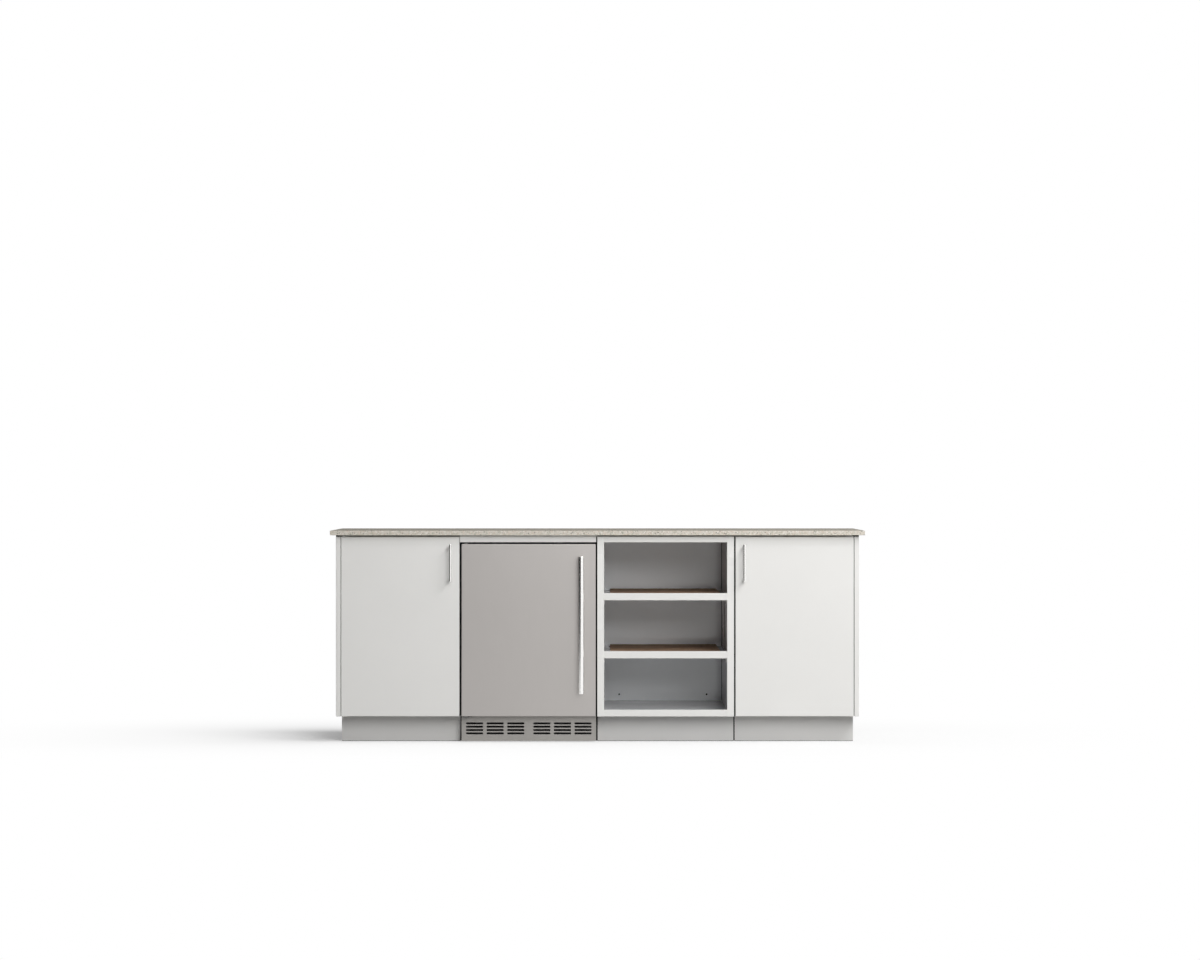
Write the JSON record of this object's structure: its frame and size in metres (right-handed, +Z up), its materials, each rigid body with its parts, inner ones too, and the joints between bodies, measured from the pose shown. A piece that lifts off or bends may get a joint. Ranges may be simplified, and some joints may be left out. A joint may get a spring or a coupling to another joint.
{
  "type": "outdoor kitchen",
  "caption": "Outdoor kitchen run with a stone worktop over hinged door cabinets, an undercounter fridge with a louvred toe grille and an open cabinet with timber-lined shelves.",
  "frame": {"origin": "on the floor, under the middle of the whole object's box, which reaches from the fridge handle in front to the worktop's back edge", "axes": "+X runs along the front to the right, the fronts face -Y, +Z is up"},
  "size_m": [2.304, 0.6754, 0.914],
  "materials": {
    "stone_top": "satin",
    "backing_board": "matte",
    "white_paint": "satin",
    "plinth_paint": "satin",
    "board_wood": "satin",
    "fridge_steel": "satin",
    "satin_handle": "satin",
    "bright_steel": "satin",
    "cover_steel": "satin",
    "case_paint": "satin",
    "compressor_paint": "satin",
    "liner_plastic": "gloss",
    "black_plastic": "matte",
    "bush_plastic": "matte",
    "dial_plastic": "satin",
    "switch_plastic": "satin",
    "seal_rubber": "matte",
    "lamp_glass": "satin"
  },
  "bodies": {
    "root": {"countertop": "stone_top", "worktop_deck": "backing_board", "left_end_panel": "white_paint", "right_end_panel": "white_paint", "levelling_feet": "black_plastic", "foot_sockets": "black_plastic", "left_toe_kick": "plinth_paint", "open_toe_kick": "plinth_paint", "right_toe_kick": "plinth_paint", "left_walls": "white_paint", "left_floor": "white_paint", "left_back": "white_paint", "left_rails": "white_paint", "left_inner_shelf": "white_paint", "left_hinge_plates": "bright_steel", "left_catch": "black_plastic", "right_walls": "white_paint", "right_floor": "white_paint", "right_back": "white_paint", "right_rails": "white_paint", "right_inner_shelf": "white_paint", "right_hinge_plates": "bright_steel", "right_catch": "black_plastic", "shelf_supports": "bright_steel", "open_walls": "white_paint", "open_floor": "white_paint", "open_back": "white_paint", "open_rails": "white_paint", "upper_shelf": "white_paint", "lower_shelf": "white_paint", "upper_board": "board_wood", "lower_board": "board_wood", "shelf_cleats": "white_paint", "appliance_rails": "white_paint", "anti_tip_tabs": "case_paint", "fridge_case": "case_paint", "fridge_liner": "liner_plastic", "fridge_racks": "bright_steel", "toe_grille": "fridge_steel", "compressor": "compressor_paint", "machine_cover": "cover_steel", "fridge_feet": "black_plastic", "fridge_hinge_brackets": "case_paint", "control_housing": "liner_plastic", "lamp_lens": "lamp_glass"},
    "left_leaf": {"left_door": "white_paint", "left_handle": "satin_handle", "left_bushes": "bush_plastic", "left_door_fixings": "bright_steel"},
    "right_leaf": {"right_door": "white_paint", "right_handle": "satin_handle", "right_bushes": "bush_plastic", "right_door_fixings": "bright_steel"},
    "fridge_leaf": {"fridge_door": "fridge_steel", "fridge_door_liner": "liner_plastic", "fridge_gasket": "seal_rubber", "fridge_handle": "satin_handle", "fridge_bushes": "bush_plastic"},
    "dial": {"thermostat_dial": "dial_plastic"},
    "rocker": {"light_switch": "switch_plastic"}
  },
  "joints": [
    {"name": "left_door_hinge", "type": "hinge", "parent": "root", "child": "left_leaf", "pos_m": [-1.0975, -0.28125, 0.5], "axis": [0, 0, -1], "range_deg": [0, 110]},
    {"name": "right_door_hinge", "type": "hinge", "parent": "root", "child": "right_leaf", "pos_m": [1.0975, -0.28125, 0.5], "axis": [0, 0, 1], "range_deg": [0, 110]},
    {"name": "fridge_door_hinge", "type": "hinge", "parent": "root", "child": "fridge_leaf", "pos_m": [-0.567, -0.27125, 0.48425], "axis": [0, 0, -1], "range_deg": [0, 95]},
    {"name": "thermostat_turn", "type": "hinge", "parent": "root", "child": "dial", "pos_m": [-0.337, -0.20125, 0.798], "axis": [0, 1, 0], "range_deg": [0, 270]},
    {"name": "light_rocker", "type": "hinge", "parent": "root", "child": "rocker", "pos_m": [-0.257, -0.19525, 0.798], "axis": [1, 0, 0], "range_deg": [-6, 6]}
  ]
}
